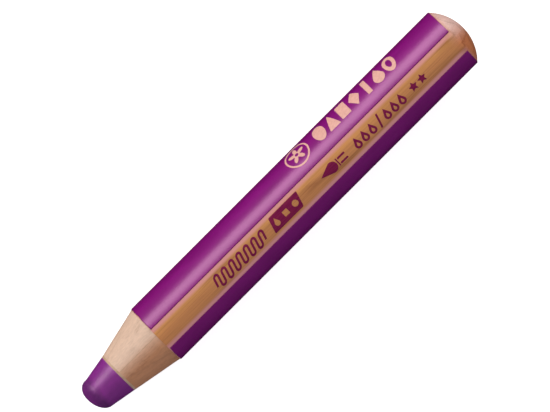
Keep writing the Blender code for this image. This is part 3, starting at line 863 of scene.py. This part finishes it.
def flower(radius, petals=5, points=120):
    middle, swing = 0.68, 0.32
    angles = [2 * math.pi * i / points for i in range(points)]
    reach = [radius * (middle + swing * math.sin(petals * a)) for a in angles]
    return [(r * math.cos(a), r * math.sin(a)) for r, a in zip(reach, angles)]


def star(radius, waist, points=5):
    corners = []
    for i in range(2 * points):
        reach = radius * (waist if i % 2 else 1.0)
        angle = math.radians(90) + math.pi * i / points
        corners.append((reach * math.cos(angle), reach * math.sin(angle)))
    return corners


def moved(loop, u=0.0, v=0.0, scale=1.0):
    return [(u + scale * a, v + scale * b) for a, b in loop]


def quarter_turned(loop):
    return [(-v, u) for u, v in loop]


def squiggle(bends=13, bend_radius=0.55 * MM, stroke=1.7 * MM, line=0.5 * MM, arc_steps=10):
    """A scribbled line up and down the stripe: straight strokes joined by half turns."""
    reach = stroke / 2
    left, right = [], []
    for bend in range(bends):
        centre = (2 * bend + 1 - bends) * bend_radius
        side = 1 if bend % 2 == 0 else -1
        for step in range(arc_steps + 1):
            turn = math.pi * step / arc_steps
            out = (-math.cos(turn), side * math.sin(turn))
            for points, way in ((left, side), (right, -side)):
                from_centre = bend_radius + way * line / 2
                points.append((centre + from_centre * out[0], side * reach + from_centre * out[1]))
    start = (left[0][0], -reach), (right[0][0], -reach)
    end_v = -reach if bends % 2 else reach
    end = (left[-1][0], end_v), (right[-1][0], end_v)
    outline = [start[0]] + left + [end[0], end[1]] + right[::-1] + [start[1]]
    return [(u + SLANT * v, v) for u, v in outline]


def outline_curve(loops):
    curve = bpy.data.curves.new("outline", "CURVE")
    curve.dimensions = "2D"
    for loop in loops:
        spline = curve.splines.new("POLY")
        spline.points.add(len(loop) - 1)
        for point, (u, v) in zip(spline.points, loop):
            point.co = (u, v, 0.0, 1.0)
        spline.use_cyclic_u = True
    return bpy.data.objects.new("outline", curve)


def centred(loops):
    """The loops moved so that the box round them has its middle at the origin."""
    points = [Vector(point) for loop in loops for point in loop]
    across = [point.x for point in points]
    tall = [point.y for point in points]
    u, v = (min(across) + max(across)) / 2, (min(tall) + max(tall)) / 2
    return [moved(loop, -u, -v) for loop in loops]


def mark_place(nodes):
    """The middle of the box round some marks: its place along the crayon and its angle."""
    boxes = [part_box(node) for node in nodes]
    low = [min(box[0][axis] for box in boxes) for axis in range(3)]
    high = [max(box[1][axis] for box in boxes) for axis in range(3)]
    if high[2] - low[2] > high[1] - low[1]:
        ends = [math.acos(min(1.0, (z - AXIS_Z) / BARREL_RADIUS)) for z in (low[2], high[2])]
        side = -1 if low[1] + high[1] > 0 else 1
        return (low[0] + high[0]) / 2, side * sum(ends) / 2
    ends = [math.asin(-y / BARREL_RADIUS) for y in (low[1], high[1])]
    return (low[0] + high[0]) / 2, sum(ends) / 2


def stamp(tree, name, loops, nodes, stamping, count=1, pitch=0.0, fineness=3):
    """One visible mark, or a row of one mark, where its films lie in the frame.

    A stamping is its material, its slot, which is not used, and the radius of the surface that it lies on.
    """
    look, slot_name, surface = stamping
    x, angle = mark_place(nodes)
    values = {
        "Count": count, "Pitch": pitch, "Centre X": x, "Angle": angle,
        "Surface Radius": surface - GAP / 2, "Film": FILM, "Fineness": fineness,
    }
    piece = grown(name, outline_curve(centred(loops)), tree, values, look)
    enlist(piece, slot_name, *nodes)


FOIL_WIDTH, FOIL_HEIGHT = 3.0 * MM, 4.7 * MM


def build_foil_marks(tree, look):
    stamping = (look, "pale_foil", BARREL_RADIUS)
    wide, tall = FOIL_WIDTH / 2, FOIL_HEIGHT / 2
    ring_radius, ring_line = 3.15 * MM, 0.4 * MM
    petal_radius, eye_radius = 2.15 * MM, 0.45 * MM
    rounding = 0.25 * MM
    shapes = {
        "emblem_ring": [disc(ring_radius, 96), disc(ring_radius - ring_line, 96)],
        "emblem_flower": [flower(petal_radius), disc(eye_radius, 32)],
        "oval": [ellipse(wide, tall)],
        "triangle": [softened([(-wide, -tall), (wide, -tall), (0.0, tall)], rounding)],
        "block": [softened(slab(FOIL_WIDTH * 0.85, FOIL_HEIGHT * 0.94), rounding)],
        "diamond": [softened([(0.0, -tall), (wide, 0.0), (0.0, tall), (-wide, 0.0)], rounding)],
        "bar": [softened(slab(FOIL_WIDTH * 0.4, FOIL_HEIGHT), 0.2 * MM)],
        "drop": [drop(wide * 0.95, FOIL_HEIGHT)],
        "ring": [ellipse(wide, tall), ellipse(wide * 0.45, tall * 0.55)],
    }
    for shape, loops in shapes.items():
        fineness = 2 if shape.startswith("emblem") else 3
        stamp(tree, f"foil_{shape}_mark", loops, [f"foil_{shape}"], stamping, fineness=fineness)


def build_badge(tree, stamping):
    """A slanted badge with a drop, a square and a disc left open in it."""
    badge_length, badge_height, window = 8.3 * MM, 3.5 * MM, 1.5 * MM
    badge = [
        softened(slab(badge_length, badge_height, SLANT), 0.3 * MM),
        moved(drop(window * 0.42, window * 1.3), -badge_length / 3),
        softened(slab(window * 0.9, window * 0.9), 0.15 * MM),
        moved(disc(window * 0.5), badge_length / 3),
    ]
    stamp(tree, "badge_mark", badge, ["ink_badge"], stamping)


def build_brush(tree, stamping):
    """A brush: a pointed head, a ferrule and the two sides of its handle."""
    head = quarter_turned(drop(radius=1.25 * MM, height=4.6 * MM))
    ferrule = slab(width=0.28 * MM, height=1.9 * MM)
    side = softened(slab(width=2.05 * MM, height=0.42 * MM), 0.15 * MM)
    side_out = 0.62 * MM
    sides = [moved(side, v=side_out), moved(side, v=-side_out)]
    stamp(tree, "brush_head_mark", [head], ["ink_brush_head"], stamping)
    stamp(tree, "brush_ferrule_mark", [ferrule], ["ink_brush_ferrule"], stamping)
    stamp(tree, "brush_side_marks", sides, ["ink_brush_side_1", "ink_brush_side_2"], stamping)


def pitch_between(first, second):
    """How far apart two like films lie along the crayon."""
    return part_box(second)[0].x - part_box(first)[0].x


def build_drops(tree, stamping):
    """Two rows of three hollow drops with a slash between the rows."""
    height = 2.7 * MM
    outline = drop(0.86 * MM, height)
    loops = [outline, moved(outline, v=-0.12 * height, scale=0.42)]
    pitch = pitch_between("ink_drop_1", "ink_drop_2")
    for name, first in (("first_drop_marks", 1), ("second_drop_marks", 4)):
        nodes = [f"ink_drop_{first + i}" for i in range(3)]
        stamp(tree, name, loops, nodes, stamping, count=3, pitch=pitch, fineness=2)
    slash = slab(width=0.45 * MM, height=3.1 * MM, slant=SLANT)
    stamp(tree, "slash_mark", [slash], ["ink_slash"], stamping)


def build_ink_marks(tree, look):
    stamping = (look, "dark_ink", COAT_RADIUS)
    stamp(tree, "scribble_mark", [squiggle()], ["ink_squiggle"], stamping, fineness=2)
    build_badge(tree, stamping)
    build_brush(tree, stamping)
    build_drops(tree, stamping)
    stars = ["ink_star_1", "ink_star_2"]
    one_star = star(radius=1.12 * MM, waist=0.5)
    stamp(tree, "star_marks", [one_star], stars, stamping, count=2, pitch=pitch_between(*stars))


# ---- Camera, light and floor --------------------------------------------------------------------

CAMERA_ROUND = 11.5  # degrees from straight above, towards +Y
VIEW_WIDTH = 116.5 * MM  # what the camera takes in across, at the crayon
LENS, SENSOR = 500.0, 36.0
OFF_CENTRE = (0.17 * MM, -1.76 * MM)  # how far right and up the crayon's middle lies in the view

FLOOR_RADIUS = 6.0
FLOOR_GLOW = 0.65
AMBIENT = 0.55
COOL = (0.97, 0.96, 1.08, 1.0)
WARM = (1.0, 0.96, 0.88)


def turned_to(place, right, up, back):
    """The matrix of a camera or a light at a place, from the ways that its own axes point."""
    return Matrix.Translation(place) @ Matrix((right, up, back)).transposed().to_4x4()


def build_camera():
    """A long lens, turned so that the crayon runs from the lower left to the upper right."""
    round_by = math.radians(CAMERA_ROUND)
    back = Vector((0.0, math.sin(round_by), math.cos(round_by)))
    crayon_way = Vector((1.0, 0.0, 0.0))
    across = back.cross(crayon_way)
    up = (crayon_way + across).normalized()
    right = (crayon_way - across).normalized()
    middle = Vector(((TIP_X + DOME_TOP_X) / 2, 0.0, AXIS_Z))
    target = middle - right * OFF_CENTRE[0] - up * OFF_CENTRE[1]
    data = bpy.data.cameras.new("camera")
    data.lens, data.sensor_width = LENS, SENSOR
    camera = bpy.data.objects.new("camera", data)
    camera.matrix_world = turned_to(target + back * (VIEW_WIDTH * LENS / SENSOR), right, up, back)
    bpy.context.scene.collection.objects.link(camera)
    bpy.context.scene.camera = camera


def round_point(x, distance, angle):
    """A point beside the crayon's axis, at an angle as for places on the barrel."""
    turned_by = math.radians(angle)
    return Vector((x, -distance * math.sin(turned_by), AXIS_Z + distance * math.cos(turned_by)))


def build_softbox(name, angle, distance, centre_x, length, width, power, mirrored=True):
    """A soft light beside the crayon, facing its middle; its reflection can be left out."""
    place = round_point(centre_x, distance, angle)
    way = (place - Vector((0.0, 0.0, AXIS_Z))).normalized()
    data = bpy.data.lights.new(name, "AREA")
    data.shape = "RECTANGLE"
    data.size, data.size_y = length, width
    data.energy = power
    data.color = WARM
    light = bpy.data.objects.new(name, data)
    sideways = (Vector((1, 0, 0)) - way * way.x).normalized()
    light.matrix_world = turned_to(place, sideways, way.cross(sideways), way)
    light.visible_glossy = mirrored
    bpy.context.scene.collection.objects.link(light)


def build_ambient():
    world = bpy.data.worlds.new("soft_room")
    world.use_nodes = True
    background = world.node_tree.nodes["Background"]
    background.inputs["Color"].default_value = COOL
    background.inputs["Strength"].default_value = AMBIENT
    world.cycles_visibility.glossy = False
    bpy.context.scene.world = world
    bpy.context.scene.view_settings.view_transform = "Standard"


def build_floor():
    bm = bmesh.new()
    bmesh.ops.create_circle(bm, cap_ends=True, segments=64, radius=FLOOR_RADIUS)
    floor = finish_mesh("floor", bm, pale_floor())
    floor.visible_glossy = False
    floor.visible_diffuse = False


glue = dried_glue()
build_casing(bare_wood())
build_seam(glue)
build_lead(purple_wax(), glue)
build_coat(varnished_wood())
build_bands(purple_lacquer())
marks = mark_tree()
build_foil_marks(marks, pale_foil())
build_ink_marks(marks, dark_ink())
build_camera()
build_softbox("long_softbox", angle=-59.0, distance=0.55, centre_x=0.2, length=1.25, width=0.31, power=4.0)
build_softbox(
    "side_card", angle=-86.0, distance=0.6, centre_x=0.1, length=0.8, width=0.35, power=0.8, mirrored=False,
)
build_ambient()
build_floor()
